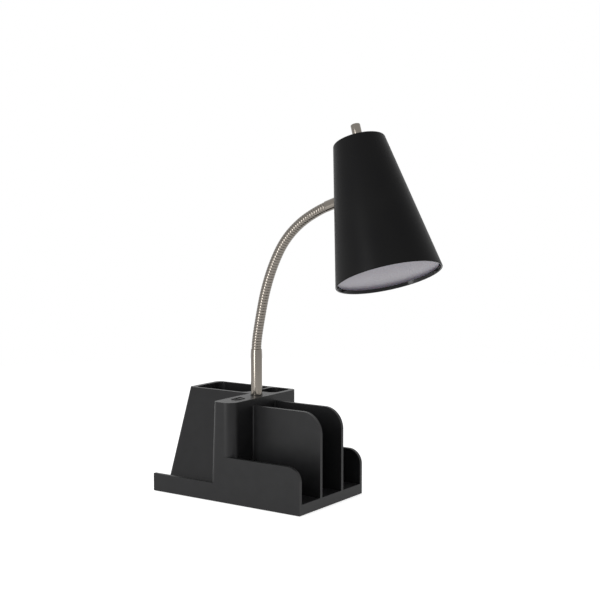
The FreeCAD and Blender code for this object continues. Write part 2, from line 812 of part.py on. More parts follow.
def power_screws():
    level = power_board_level() + s.boardThick
    screws = [screw(s.boltHeadRadius, s.boltHeadHeight, s.boltRadius,
                    s.boltLength, across, back, level, False)
              for across, back in power_post_places()]
    return keep(set_on_base(group("powerScrews", screws)), "power_board_screws")


def centred_box(width, length, height, up):
    """A box about the socket's upright axis."""
    return box(width, length, height, s.socketAcross - width / 2, s.socketBack - length / 2, up)


def socket_bezel():
    half_width, half_length = s.bezelWidth / 2, s.bezelLength / 2
    flange = upright("bezelFlange",
                     rectangle(s.socketAcross - half_width, s.socketBack - half_length,
                               s.socketAcross + half_width, s.socketBack + half_length),
                     s.blockTop, s.bezelThick)
    round_edges(flange, lambda middle, along: steep(along), s.bezelRound)
    neck = centred_box(s.bezelNeckWidth, s.bezelNeckLength, s.roofWall + s.bezelThick / 2,
                       s.blockTop - s.roofWall)
    mouth = centred_box(s.socketWidth + s.socketGap * 2, s.socketLength + s.socketGap * 2,
                        (s.roofWall + s.bezelThick) * 2, s.blockTop - s.roofWall * 2)
    whole = cut("socketBezel", fuse("bezelSolid", [flange, neck]), mouth)
    return keep(set_on_base(whole), "socket_bezel")


def socket_shell():
    outside = centred_box(s.socketWidth, s.socketLength, s.socketDepth, socket_board_top())
    inside = centred_box(s.socketWidth - s.socketWall * 2, s.socketLength - s.socketWall * 2,
                         s.socketDepth * 2, socket_board_top())
    return keep(set_on_base(cut("socketShell", outside, inside)), "socket_shell")


def socket_tongue():
    """The insulator fills the foot of the metal shell and carries the tongue."""
    foot = centred_box(s.socketWidth - s.socketWall * 2 - s.fixingGap,
                       s.socketLength - s.socketWall * 2 - s.fixingGap,
                       s.tongueShort, socket_board_top())
    tongue = centred_box(s.tongueWidth, s.tongueLength, s.socketDepth - s.tongueShort,
                         socket_board_top())
    return keep(set_on_base(fuse("socketTongue", [foot, tongue])), "socket_tongue")


def socket_board():
    level = socket_board_top() - s.boardThick
    board = centred_box(s.socketBoardWidth, s.socketBoardLength, s.boardThick, level)
    holes = [rod(s.boltRadius + s.fixingGap, s.boardThick, s.socketAcross, back, level)
             for back in socket_post_places()]
    whole = cut("socketBoard", board, fuse("socketBoardHoles", holes))
    return keep(set_on_base(whole), "socket_board")


def socket_screws():
    level = socket_board_top() - s.boardThick
    screws = [screw(s.boltHeadRadius, s.boltHeadHeight, s.boltRadius,
                    s.boltLength, s.socketAcross, back, level, True)
              for back in socket_post_places()]
    return keep(set_on_base(group("socketScrews", screws)), "socket_board_screws")


# ---------------------------------------------------------------- neck fixing

def set_on_neck(thing, up):
    """Centre a piece on the neck's axis, at a level measured from the top of the block."""
    shift(thing, s.neckAcross - s.baseWidth / 2, s.neckBack - s.baseDepth / 2,
          s.blockTop + s.footProud + up)
    return thing


def nipple():
    section = tube_section(s.nippleBore, s.nippleRadius, -s.roofWall - s.nippleDown, s.nippleUp)
    return keep(set_on_neck(turned("nipple", section), 0), "neck_nipple")


def anchor_plate():
    plate = box(s.anchorWidth, s.anchorLength, s.anchorThick, -s.anchorWidth / 2,
                -s.anchorLength / 2, 0)
    whole = cut("anchorPlate", plate, rod(s.nippleRadius + s.fixingGap, s.anchorThick))
    return keep(set_on_neck(whole, -s.roofWall - s.anchorThick), "anchor_plate")


def neck_washer():
    section = tube_section(s.nippleRadius + s.fixingGap, s.washerRadius, 0, s.washerThick)
    level = -s.roofWall - s.anchorThick - s.washerThick
    return keep(set_on_neck(turned("neckWasher", section), level), "neck_lock_washer")


def hex_nut(name, across_flats, height, bore):
    blank = upright(name + "Blank", hexagon(across_flats), 0, height)
    return cut(name, blank, rod(bore, height))


def neck_nut():
    nut = hex_nut("neckNut", s.nutAcross, s.nutHeight, s.nippleRadius + s.fixingGap)
    level = -s.roofWall - s.anchorThick - s.washerThick - s.nutHeight
    return keep(set_on_neck(nut, level), "neck_nut")


def collar():
    inner = s.sleeveRadius + s.fixingGap / 2
    bevel = s.collarHeight / 4
    section = [(inner, 0), (s.collarRadius, 0), (s.collarRadius, s.collarHeight - bevel),
               (s.collarRadius - bevel, s.collarHeight), (inner, s.collarHeight)]
    return keep(set_on_neck(turned("collar", section), 0), "neck_collar")


def sleeve():
    lower_bore = s.nippleRadius + s.fixingGap
    bevel = s.sleeveRadius - s.sleeveBore - s.fixingGap * 2
    section = [(lower_bore, 0), (s.sleeveRadius, 0), (s.sleeveRadius, s.sleeveHeight - bevel),
               (s.sleeveRadius - bevel, s.sleeveHeight), (s.sleeveBore, s.sleeveHeight),
               (s.sleeveBore, s.sleeveHeight - s.rootHidden),
               (lower_bore, s.sleeveHeight - s.rootHidden)]
    return keep(set_on_neck(turned("sleeve", section), 0), "neck_sleeve")


# ---------------------------------------------------------------- hose

def dome_corners(level):
    """The convex end of a stretch, about a pivot at this level."""
    crown = level + root(s.hoseRadius * s.hoseRadius - s.hoseBore * s.hoseBore)
    return [(s.hoseRadius, level), (s.hoseBore, crown, s.hoseRadius, (0, level))]


def cup_radius():
    return s.hoseRadius + s.hoseGap


def cup_edge():
    return root(cup_radius() * cup_radius() - s.hoseRadius * s.hoseRadius)


def cup_corners():
    """The hollow end of a stretch, about a pivot at level 0."""
    crown = root(cup_radius() * cup_radius() - s.hoseBore * s.hoseBore)
    return [(s.hoseBore, crown), (s.hoseRadius, cup_edge(), cup_radius(), (0, 0))]


def groove_ribs(body, first, last):
    """Round grooves between the wound ribs, from one level to another."""
    count = int((last.value - first.value) / s.ribPitch.value)
    half = s.ribWidth / 2
    groove = body.newObject("PartDesign::Groove", "Groove")
    section = [(s.hoseRadius - s.ribDepth, first), (s.hoseRadius + s.ribDepth, first - half * 2),
               (s.hoseRadius + s.ribDepth, first + half * 2)]
    sketch = outline(body, "XZ_Plane", section)
    groove.Profile = sketch
    groove.ReferenceAxis = (sketch, ["V_Axis"])
    groove.Angle = 360
    if count > 1:
        pattern = body.newObject("PartDesign::LinearPattern", "LinearPattern")
        pattern.Originals = [groove]
        pattern.Direction = (plane_of(body, "Z_Axis"), [""])
        pattern.Mode = "Spacing"
        bind(pattern, "Offset", s.ribPitch)
        pattern.Occurrences = count
        body.Tip = pattern
    return body


def hose_root():
    top = s.rootHidden + s.rootShown
    body = turned("hoseRoot", [(s.hoseBore, 0), (s.hoseRadius, 0)] + dome_corners(top))
    groove_ribs(body, s.rootHidden + s.ribPitch / 2, top)
    return keep(set_on_neck(body, s.sleeveHeight - s.rootHidden), "hose_root")


def hose_stretch(number, pivot, lean):
    body = turned("hoseStretch%d" % number, cup_corners() + dome_corners(s.stretchLength))
    groove_ribs(body, cup_edge() + s.ribPitch / 2, s.stretchLength)
    body.Placement = FreeCAD.Placement(pivot, along_neck(lean))
    return keep(body, "hose_stretch_%d" % number)


def hose_tip(pivot):
    section = cup_corners() + [(s.hoseRadius, s.tipLength), (s.hoseBore, s.tipLength)]
    body = turned("hoseTip", section)
    groove_ribs(body, cup_edge() + s.ribPitch / 2, s.tipLength)
    body.Placement = FreeCAD.Placement(pivot, along_neck(s.leanTip))
    return keep(body, "hose_tip")


def direction(lean):
    angle = math.radians(float(lean))
    return FreeCAD.Vector(math.cos(angle), 0, math.sin(angle))


def along_neck(lean):
    """Turns a piece's own Z axis along the neck, with its Y axis to the rear."""
    return FreeCAD.Rotation(FreeCAD.Vector(0, 1, 0), 90 - float(lean))


def leans():
    return [s.lean1, s.lean2, s.lean3, s.lean4, s.lean5, s.lean6]


def pivots():
    """The neck's pivots at rest, in the model's frame."""
    point = FreeCAD.Vector(float(s.neckAcross - s.baseWidth / 2),
                           float(s.neckBack - s.baseDepth / 2),
                           float(s.footProud + s.blockTop + s.sleeveHeight + s.rootShown))
    found = [point]
    for lean in leans():
        point = point + direction(lean) * float(s.stretchLength)
        found.append(point)
    return found


# ---------------------------------------------------------------- head

def head_axis():
    """The shade's axis, towards its rim. It crosses the neck's axis at a right angle."""
    tip = direction(s.leanTip)
    down = FreeCAD.Vector(tip.z, 0, -tip.x)
    roll = math.radians(float(s.shadeRoll))
    return down * math.cos(roll) - FreeCAD.Vector(0, math.sin(roll), 0)


def head_top():
    """The centre of the shade's top."""
    return pivots()[-1] + direction(s.leanTip) * float(s.headReach) \
        - head_axis() * float(s.neckDrop)


def head_turn(axis):
    """The piece's Z axis goes along the given axis and its X axis to the neck."""
    to_neck = direction(s.leanTip) * -1
    return FreeCAD.Rotation(to_neck, axis.cross(to_neck), axis, "ZXY")


def hang(thing):
    """Place a piece whose Z axis runs from the shade's top to its rim."""
    thing.Placement = FreeCAD.Placement(head_top(), head_turn(head_axis()))
    return thing


def stand(thing):
    """Place a piece whose Z axis runs up from the shade's top."""
    thing.Placement = FreeCAD.Placement(head_top(), head_turn(head_axis() * -1))
    return thing


def on_neck_tip(thing, reach):
    """Place a piece whose Z axis runs along the hose's tip, a distance past the last pivot."""
    place = pivots()[-1] + direction(s.leanTip) * float(reach)
    thing.Placement = FreeCAD.Placement(place, along_neck(s.leanTip))
    return thing


def outer_radius(down):
    return s.shadeTopRadius + (s.shadeRimRadius - s.shadeTopRadius) * down / s.shadeLength


def inner_radius(down):
    return outer_radius(down) - s.shadeWall


def pad_outer():
    """The seat's outer face from the shade's axis, clear of the cone all round the ferrule."""
    return outer_radius(s.neckDrop + s.padRadius) + s.padProud


def pad_inner():
    return pad_outer() - s.padThick


def diffuser_seat():
    return s.shadeLength - s.diffuserRecess - s.diffuserThick


def heat_plate_seat():
    return s.shadeLength - s.heatPlateRise


def heat_plate_under():
    return heat_plate_seat() + s.heatPlateThick


def ring_places(count, radius, start=0):
    return [(float(radius) * math.cos(start + 2 * math.pi * index / count),
             float(radius) * math.sin(start + 2 * math.pi * index / count))
            for index in range(count)]


def bolt_places():
    ring = inner_radius(heat_plate_seat()) - s.boltInset
    return ring_places(HEAT_PLATE_SCREWS, ring, math.pi / HEAT_PLATE_SCREWS)


def shade():
    hole = s.bushingRadius + s.fixingGap
    seat, plate = diffuser_seat(), heat_plate_seat()
    section = [(hole, 0), (s.shadeTopRadius, 0), (s.shadeRimRadius, s.shadeLength),
               (inner_radius(s.shadeLength), s.shadeLength), (inner_radius(seat), seat),
               (inner_radius(seat) - s.ledgeReach, seat),
               (inner_radius(seat) - s.ledgeReach, seat - s.ledgeThick),
               (inner_radius(seat - s.ledgeThick), seat - s.ledgeThick),
               (inner_radius(plate), plate), (inner_radius(plate) - s.ledgeReach, plate),
               (inner_radius(plate) - s.ledgeReach, plate - s.ledgeThick),
               (inner_radius(plate - s.ledgeThick), plate - s.ledgeThick),
               (inner_radius(s.shadeRoof), s.shadeRoof), (hole, s.shadeRoof)]
    shell = turned("shadeShell", section)
    boss_height = s.boltLength + s.fixingGap - s.heatPlateThick
    bosses = [rod(s.boltBossRadius, boss_height, across, back, plate - boss_height)
              for across, back in bolt_places()]
    pad = lying_rod(s.padRadius, s.padThick, pad_inner(), 0, s.neckDrop, TO_RIGHT)
    solid = fuse("shadeSolid", [shell, pad] + bosses)
    holes = [rod(s.boltRadius + s.fixingGap / 2, boss_height, across, back, plate - boss_height)
             for across, back in bolt_places()]
    holes.append(lying_rod(s.spigotRadius + s.fixingGap, pad_outer(), pad_inner() / 2, 0,
                           s.neckDrop, TO_RIGHT))
    return keep(hang(cut("shade", solid, fuse("shadeHoles", holes))), "shade")


def diffuser():
    radius = inner_radius(diffuser_seat()) - s.discGap
    disc = turned("diffuser", [(0, 0), (radius, 0), (radius, s.diffuserThick),
                               (0, s.diffuserThick)])
    return keep(move_down(disc, diffuser_seat()), "diffuser")


def move_down(thing, down):
    """Place a piece at a distance below the shade's top, along the shade's axis."""
    place = head_top() + head_axis() * float(down)
    thing.Placement = FreeCAD.Placement(place, head_turn(head_axis()))
    return thing


def heat_plate():
    radius = inner_radius(heat_plate_seat()) - s.discGap
    disc = rod(radius, s.heatPlateThick)
    holes = [rod(s.boltRadius + s.fixingGap, s.heatPlateThick, across, back)
             for across, back in bolt_places()]
    whole = cut("heatPlate", disc, fuse("heatPlateHoles", holes))
    return keep(move_down(whole, heat_plate_seat()), "heat_plate")


def heat_plate_screws():
    screws = [screw(s.boltHeadRadius, s.boltHeadHeight, s.boltRadius, s.boltLength,
                    across, back, 0, False) for across, back in bolt_places()]
    return keep(move_down(group("heatScrews", screws), heat_plate_under()), "heat_plate_screws")


def led_board():
    disc = rod(s.ledBoardRadius, s.boardThick)
    return keep(move_down(group("lightBoard", [disc]), heat_plate_under()), "led_board")


def led_chips():
    half = s.chipSize / 2
    places = ring_places(INNER_CHIPS, s.innerRing) + ring_places(OUTER_CHIPS, s.outerRing)
    chips = [box(s.chipSize, s.chipSize, s.chipHeight, across - half, back - half, 0)
             for across, back in places]
    level = heat_plate_under() + s.boardThick
    return keep(move_down(group("chips", chips), level), "led_chips")


def reflector():
    depth = diffuser_seat() - s.ledgeThick - heat_plate_under()
    inner = inner_radius(diffuser_seat()) - s.ledgeReach + s.discGap
    section = [(s.reflectorTop, 0), (s.reflectorTop + s.reflectorWall, 0),
               (inner + s.reflectorWall, depth), (inner, depth)]
    return keep(move_down(turned("reflector", section), heat_plate_under()), "reflector")


def driver_box():
    half_length, half_width = s.driverLength / 2, s.driverWidth / 2
    body = upright("driverBox", rectangle(-half_length, -half_width, half_length, half_width),
                   0, s.driverHeight)
    round_edges(body, lambda middle, along: steep(along), s.driverWidth / 10)
    return keep(move_down(body, heat_plate_seat() - s.driverHeight), "led_driver")


def ferrule():
    end = s.headReach - pad_outer()
    section = [(s.hoseBore, s.tipLength), (s.ferruleRadius, s.tipLength), (s.ferruleRadius, end),
               (s.spigotRadius, end), (s.spigotRadius, end + s.spigotReach),
               (s.hoseBore, end + s.spigotReach)]
    return keep(on_neck_tip(turned("ferrule", section), 0), "hose_ferrule")


def shade_washer():
    section = tube_section(s.spigotRadius + s.fixingGap, s.shadeWasherRadius, 0, s.washerThick)
    return keep(on_neck_tip(turned("shadeWasher", section), s.headReach - pad_inner()),
                "shade_washer")


def shade_nut():
    nut = hex_nut("shadeNut", s.shadeNutAcross, s.shadeNutHeight, s.spigotRadius + s.fixingGap)
    return keep(on_neck_tip(nut, s.headReach - pad_inner() + s.washerThick), "shade_nut")


# ---------------------------------------------------------------- switch

def shaft_bore():
    return s.shaftRadius + s.shaftGap


def switch_body():
    bottom = -s.shadeRoof - s.switchHeight
    floor = -s.shaftDown - s.hoseGap
    section = [(0, bottom), (s.switchRadius, bottom), (s.switchRadius, -s.shadeRoof),
               (s.bushingRadius, -s.shadeRoof), (s.bushingRadius, s.bushingUp),
               (shaft_bore(), s.bushingUp), (shaft_bore(), floor), (0, floor)]
    return keep(stand(turned("switchBody", section)), "switch_body")


def ring_nut():
    inner = s.bushingRadius + s.fixingGap
    bevel = s.ringNutHeight / 4
    section = [(inner, 0), (s.ringNutRadius, 0), (s.ringNutRadius, s.ringNutHeight - bevel),
               (s.ringNutRadius - bevel, s.ringNutHeight), (inner, s.ringNutHeight)]
    return keep(stand(turned("ringNut", section)), "switch_ring_nut")


def switch_shaft():
    section = [(0, -s.shaftDown), (s.shaftRadius, -s.shaftDown), (s.shaftRadius, s.shaftUp),
               (0, s.shaftUp)]
    return keep(stand(turned("switchShaft", section)), "switch_shaft")


def knob_bore():
    return s.shaftRadius + s.fixingGap / 2


def knob():
    corner = s.knobRadius - s.knobRound
    shoulder = s.knobTop - s.knobRound
    section = [(knob_bore(), s.knobBottom), (s.knobRadius, s.knobBottom),
               (s.knobRadius, shoulder), (corner, s.knobTop, s.knobRound, (corner, shoulder)),
               (0, s.knobTop), (0, s.shaftUp), (knob_bore(), s.shaftUp)]
    blank = turned("knobBlank", section)
    hole = lying_rod(s.setScrewRadius + s.fixingGap / 2, s.knobRadius, knob_bore() / 2, 0,
                     s.setScrewAt, TO_RIGHT)
    return keep(stand(cut("knob", blank, hole)), "switch_knob")


def set_screw():
    length = s.knobRadius - knob_bore() - s.fixingGap
    pin = turned("setScrew", [(0, 0), (s.setScrewRadius, 0), (s.setScrewRadius, length),
                              (0, length)])
    to_neck = direction(s.leanTip) * -1
    place = head_top() - head_axis() * float(s.setScrewAt) + to_neck * float(knob_bore())
    turn = FreeCAD.Rotation(FreeCAD.Vector(0, 0, 1), to_neck)
    pin.Placement = FreeCAD.Placement(place, turn)
    return keep(pin, "knob_set_screw")


# ---------------------------------------------------------------- make, test and write

def make_all():
    for maker in (housing, bottom_plate, rubber_feet, plate_screws, ballast, cord_bush,
                  power_board, transformer, capacitors, power_screws, socket_bezel,
                  socket_shell, socket_tongue, socket_board, socket_screws, nipple,
                  anchor_plate, neck_washer, neck_nut, collar, sleeve, hose_root):
        maker()
    places = pivots()
    for number, lean in enumerate(leans(), start=1):
        hose_stretch(number, places[number - 1], lean)
    hose_tip(places[-1])
    for maker in (ferrule, shade_washer, shade_nut, shade, diffuser, heat_plate,
                  heat_plate_screws, led_board, led_chips, reflector, driver_box,
                  switch_body, ring_nut, switch_shaft, knob, set_screw):
        maker()
    doc.recompute()


def test_all():
    for thing in doc.Objects:
        if "Invalid" in thing.State or "Error" in thing.State:
            raise RuntimeError("failed: %s (%s)" % (thing.Name, thing.TypeId))
        shape = getattr(thing, "Shape", None)
        if thing.TypeId.startswith("App::") or shape is None:
            continue
        if shape.isNull() or not shape.isValid():
            raise RuntimeError("bad shape: %s (%s)" % (thing.Name, thing.TypeId))
    for piece in pieces:
        if not piece.Shape.Solids:
            raise RuntimeError("no solid: " + piece.Label)
    shell = next(piece for piece in pieces if piece.Label == "organizer_housing")
    if len(shell.Shape.Solids) != 1:
        raise RuntimeError("the housing fell into %d solids" % len(shell.Shape.Solids))


def write_all():
    os.makedirs("parts", exist_ok=True)
    for piece in pieces:
        piece.Shape.exportStep("parts/%s.step" % piece.Label)
        print("%-22s %d solid(s) %10.1f mm3" % (piece.Label, len(piece.Shape.Solids),
                                               piece.Shape.Volume))


make_all()
test_all()
write_all()
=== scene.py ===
import json
import math

import bmesh
import bpy
from mathutils import Matrix, Vector
from mathutils.bvhtree import BVHTree

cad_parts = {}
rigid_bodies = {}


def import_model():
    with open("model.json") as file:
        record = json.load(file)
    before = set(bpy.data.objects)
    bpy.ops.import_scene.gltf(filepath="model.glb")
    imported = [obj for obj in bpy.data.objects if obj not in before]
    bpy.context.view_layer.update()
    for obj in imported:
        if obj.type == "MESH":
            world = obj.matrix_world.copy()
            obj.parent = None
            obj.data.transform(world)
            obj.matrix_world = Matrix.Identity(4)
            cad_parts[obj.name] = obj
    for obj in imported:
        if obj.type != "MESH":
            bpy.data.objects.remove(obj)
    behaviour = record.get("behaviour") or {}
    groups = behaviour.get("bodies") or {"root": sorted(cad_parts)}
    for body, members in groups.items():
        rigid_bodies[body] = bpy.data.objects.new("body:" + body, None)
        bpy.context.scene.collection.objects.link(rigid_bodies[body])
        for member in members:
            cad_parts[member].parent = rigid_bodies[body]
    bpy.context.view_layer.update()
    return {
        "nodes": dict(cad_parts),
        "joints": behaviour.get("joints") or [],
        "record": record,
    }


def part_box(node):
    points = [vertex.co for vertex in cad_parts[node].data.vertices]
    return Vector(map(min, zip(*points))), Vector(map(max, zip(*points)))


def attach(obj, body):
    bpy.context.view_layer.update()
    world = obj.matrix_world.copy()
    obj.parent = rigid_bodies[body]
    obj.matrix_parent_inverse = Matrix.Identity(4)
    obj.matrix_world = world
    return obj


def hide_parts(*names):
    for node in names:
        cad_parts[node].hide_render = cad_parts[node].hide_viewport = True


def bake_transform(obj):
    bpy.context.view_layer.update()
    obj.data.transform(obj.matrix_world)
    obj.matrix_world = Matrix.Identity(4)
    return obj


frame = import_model()
nodes = frame["nodes"]
mm = 0.001
weldWithin = 0.001 * mm  # points nearer than this are one point
scene = bpy.context.scene
print("frame loaded,", len(nodes), "pieces")

jointAt = {joint["name"]: Vector(joint["pos_m"]) for joint in frame["joints"]}
neckNames = [joint["name"] for joint in frame["joints"] if joint["name"].startswith("neck")]
pivots = [jointAt[name] for name in neckNames]
bodyOf = {joint["name"]: (joint["parent"], joint["child"]) for joint in frame["joints"]}
knobJoint = next(joint for joint in frame["joints"] if joint["name"] == "switch_turn")
headUp = Vector(knobJoint["axis"]).normalized()  # along the shade's axis, to the knob
headTop = Vector(knobJoint["pos_m"])  # centre of the shade's top


def middleOf(node):
    low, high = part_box(node)
    return (low + high) / 2


def heightRange(node, origin, direction):
    reach = [(vertex.co - origin).dot(direction) for vertex in nodes[node].data.vertices]
    return min(reach), max(reach)


def turnTo(direction, side):  # z runs along the direction, and x leans towards the side
    up = direction.normalized()
    across = (side - up * side.dot(up)).normalized()
    return Matrix((across, up.cross(across), up)).transposed().to_4x4()


def linear(hexCode):
    parts = [int(hexCode[place:place + 2], 16) / 255 for place in (1, 3, 5)]
    return [part / 12.92 if part <= 0.04045 else ((part + 0.055) / 1.055) ** 2.4
            for part in parts] + [1]


def addNode(tree, kind, settings=None, **links):
    node = tree.nodes.new(kind)
    for name, value in (settings or {}).items():
        if hasattr(node, name):
            setattr(node, name, value)
        else:
            node.inputs[name].default_value = value
    for name, source in links.items():
        tree.links.new(source, node.inputs[name.replace("_", " ")])
    return node


def newMaterial(name, **constants):
    material = bpy.data.materials.new(name)
    material.use_nodes = True
    tree = material.node_tree
    shader = tree.nodes["Principled BSDF"]
    for socket, value in constants.items():
        shader.inputs[socket.replace("_", " ")].default_value = value
    return material, tree, shader


def grain(tree, size, detail=2.0, stretch=(1, 1, 1)):
    place = addNode(tree, "ShaderNodeTexCoord")
    scaled = addNode(tree, "ShaderNodeMapping", {"Scale": stretch}, Vector=place.outputs["Object"])
    return addNode(tree, "ShaderNodeTexNoise", {"Scale": 1 / size, "Detail": detail},
                   Vector=scaled.outputs["Vector"])


def between(tree, factor, low, high, start=0.3, end=0.7):
    ranged = addNode(tree, "ShaderNodeMapRange", {"From Min": start, "From Max": end,
                                                  "To Min": low, "To Max": high}, Value=factor)
    return ranged.outputs["Result"]


def tint(tree, factor, first, second, start=0.3, end=0.7):
    ramp = addNode(tree, "ShaderNodeValToRGB", Fac=factor)
    ramp.color_ramp.elements[0].position = start
    ramp.color_ramp.elements[1].position = end
    ramp.color_ramp.elements[0].color = linear(first)
    ramp.color_ramp.elements[1].color = linear(second)
    return ramp.outputs["Color"]


def addRelief(tree, shader, noise, depth):
    relief = addNode(tree, "ShaderNodeBump", {"Strength": 1.0, "Distance": depth},
                     Height=noise.outputs["Fac"])
    tree.links.new(relief.outputs["Normal"], shader.inputs["Normal"])


# patches of tone are this many times the grain, and the roughness swings by this to either side
speckle = {"broadScale": 30, "roughSpread": 0.04}


def speckled(name, first, second, size, depth, rough, **constants):
    material, tree, shader = newMaterial(name, **constants)
    noise = grain(tree, size)
    broad = grain(tree, size * speckle["broadScale"], detail=1)
    tree.links.new(tint(tree, broad.outputs["Fac"], first, second), shader.inputs["Base Color"])
    low, high = rough - speckle["roughSpread"], rough + speckle["roughSpread"]
    tree.links.new(between(tree, noise.outputs["Fac"], low, high), shader.inputs["Roughness"])
    addRelief(tree, shader, noise, depth)
    return material


# moulded ABS from a fine spark-eroded tool: a deep black with a soft, dull sheen
blackAbs = speckled("mouldedBlackAbs", "#171718", "#1b1b1c", 0.45 * mm, 0.003 * mm, 0.4,
                    IOR=1.5, Specular_IOR_Level=0.23)
# painted steel, sprayed satin black: nearly no highlight, with a faint, wide orange peel
satinPaint = speckled("sprayedSatinBlackSteel", "#151516", "#191919", 1.6 * mm, 0.002 * mm, 0.4,
                      IOR=1.5, Specular_IOR_Level=0.05)
# the same paint inside the shade's mouth, where it was left glossier
glossPaint = speckled("sprayedGlossBlackSteel", "#101011", "#141415", 1.6 * mm, 0.0008 * mm, 0.09,
                      IOR=1.5, Specular_IOR_Level=0.2)
# matte injection-moulded ABS of the parts that are out of sight: flat and slightly greyer
matteAbs = speckled("mouldedMatteAbs", "#1d1d1e", "#222223", 0.5 * mm, 0.02 * mm, 0.6, IOR=1.5)
# moulded nitrile rubber: a dull dark grey that takes no highlight
nitrile = speckled("mouldedNitrileRubber", "#202020", "#262626", 0.7 * mm, 0.03 * mm, 0.8,
                   IOR=1.5)
# zinc-plated screws and washers: a bright, slightly blue grey with a soft gloss
zincSteel = speckled("zincPlatedSteel", "#a9adb2", "#b9bcc0", 0.3 * mm, 0.003 * mm, 0.32,
                     Metallic=1.0)
# hot-rolled steel slab: dark scale over a rough face
rolledSteel = speckled("hotRolledSteel", "#4a4c50", "#5a5b5e", 1.5 * mm, 0.03 * mm, 0.55,
                       Metallic=1.0)
# cold-formed stainless sheet of the socket's shell: bright and smooth
stainlessSheet = speckled("formedStainlessSheet", "#9c9c9a", "#a8a8a6", 0.25 * mm, 0.002 * mm,
                          0.25, Metallic=1.0)
# black liquid-crystal polymer of the contact tongue: the slot reads dark from outside
contactPlastic = speckled("mouldedBlackPolymer", "#161616", "#1b1b1b", 0.4 * mm, 0.006 * mm,
                          0.45, IOR=1.5)
# glass-fibre board under green solder mask: glossy, with the weave just showing
solderMask = speckled("solderMaskedFibreglass", "#0b4a24", "#0e5a2c", 0.6 * mm, 0.01 * mm, 0.3,
                      IOR=1.5)
# white solder mask of the light board, which keeps the light in
whiteMask = speckled("whiteSolderMask", "#e4e4e2", "#eeeeec", 0.6 * mm, 0.008 * mm, 0.35,
                     IOR=1.5)
# yellow polyester tape round the transformer: waxy and smooth
windingTape = speckled("polyesterWindingTape", "#c79a1c", "#d3a727", 0.8 * mm, 0.01 * mm, 0.4,
                       IOR=1.57)
# drawn aluminium cans, with a soft bright skin
drawnAluminium = speckled("drawnAluminium", "#b4b6b8", "#c2c3c5", 0.4 * mm, 0.004 * mm, 0.35,
                          Metallic=1.0)
# phosphor set in silicone over each light chip: a waxy yellow
phosphor = speckled("phosphorInSilicone", "#dcae30", "#e6bb40", 0.2 * mm, 0.004 * mm, 0.3,
                    IOR=1.41)
# vacuum-formed white polycarbonate of the reflector
whiteReflector = speckled("formedWhitePolycarbonate", "#e8e8e6", "#f0f0ee", 0.6 * mm,
                          0.006 * mm, 0.3, IOR=1.58)
# flame-proof white ABS of the driver's box
whiteAbs = speckled("mouldedWhiteAbs", "#cfcfcb", "#d8d8d4", 0.5 * mm, 0.015 * mm, 0.5, IOR=1.5)


# nickel plate over steel: a warm grey, with painted shade darkening it down in the hose's grooves
nickel = {"tones": ("#757069", "#817b74"), "rough": (0.11, 0.15), "lineSize": 0.35 * mm,
          "lineDetail": 3, "relief": 0.0004 * mm, "paintedGrooveShadeTone": "#2a2723", "grooveShade": 0.95,
          "grooveFrom": 0.1, "grooveTo": 0.9}


def brushedNickel(name, stretch, shadeGrooves=False):
    material, tree, shader = newMaterial(name, Metallic=1.0)
    lines = grain(tree, nickel["lineSize"], detail=nickel["lineDetail"], stretch=stretch)
    color = tint(tree, lines.outputs["Fac"], *nickel["tones"])
    # painted shade: the colour darkens towards a near-black where the hose's groove is deep
    if shadeGrooves:
        deep = addNode(tree, "ShaderNodeAttribute", {"attribute_name": "groove"})
        dark = addNode(tree, "ShaderNodeMix", {"data_type": "RGBA"})  # 0: factor, 6, 7: colours
        shade = between(tree, deep.outputs["Fac"], 0, nickel["grooveShade"],
                        nickel["grooveFrom"], nickel["grooveTo"])
        tree.links.new(shade, dark.inputs[0])
        tree.links.new(color, dark.inputs[6])
        dark.inputs[7].default_value = linear(nickel["paintedGrooveShadeTone"])
        color = dark.outputs[2]
    tree.links.new(color, shader.inputs["Base Color"])
    tree.links.new(between(tree, lines.outputs["Fac"], *nickel["rough"]),
                   shader.inputs["Roughness"])
    addRelief(tree, shader, lines, nickel["relief"])
    return material


turnedNickel = brushedNickel("brushedNickelPlate", stretch=(1, 1, 0.02))  # lines up the barrel
# the hose's nickel, with painted shade in its grooves
hoseNickel = brushedNickel("woundNickelStrip", stretch=(1, 1, 1), shadeGrooves=True)

# sanded acrylic of the diffuser: violet grey while unlit, and it scatters a little
acrylic = {"tones": ("#7e7786", "#867f8f"), "toneSize": 40 * mm, "rough": (0.24, 0.32),
           "frostSize": 0.6 * mm, "relief": 0.004 * mm, "scatterDepth": 2 * mm}


def frostedAcrylic():
    material, tree, shader = newMaterial("sandedAcrylic", IOR=1.49, Subsurface_Weight=0.2,
                                         Subsurface_Scale=acrylic["scatterDepth"])
    frost = grain(tree, acrylic["frostSize"])
    broad = grain(tree, acrylic["toneSize"], detail=0)
    tree.links.new(tint(tree, broad.outputs["Fac"], *acrylic["tones"]),
                   shader.inputs["Base Color"])
    tree.links.new(between(tree, frost.outputs["Fac"], *acrylic["rough"]),
                   shader.inputs["Roughness"])
    addRelief(tree, shader, frost, acrylic["relief"])
    return material


sandedAcrylic = frostedAcrylic()
slotFinish = {
    "black_housing": blackAbs, "black_plate": matteAbs, "foot_rubber": nitrile,
    "screw_steel": zincSteel, "ballast_steel": rolledSteel, "bush_rubber": nitrile,
    "circuit_board": solderMask, "transformer_case": windingTape,
    "can_aluminium": drawnAluminium, "black_bezel": blackAbs, "socket_steel": stainlessSheet,
    "tongue_plastic": contactPlastic, "plated_steel": zincSteel, "neck_nickel": turnedNickel,
    "black_shade": satinPaint, "frosted_acrylic": sandedAcrylic,
    "plate_aluminium": drawnAluminium, "white_board": whiteMask, "chip_phosphor": phosphor,
    "white_reflector": whiteReflector, "driver_case": whiteAbs, "switch_plastic": matteAbs,
}
slotOf = {part["node"]: part["material_slot"] for part in frame["record"]["subparts"]}
for name, node in nodes.items():
    node.data.materials.clear()
    node.data.materials.append(slotFinish[slotOf[name]])
print("materials ready,", len(bpy.data.materials))


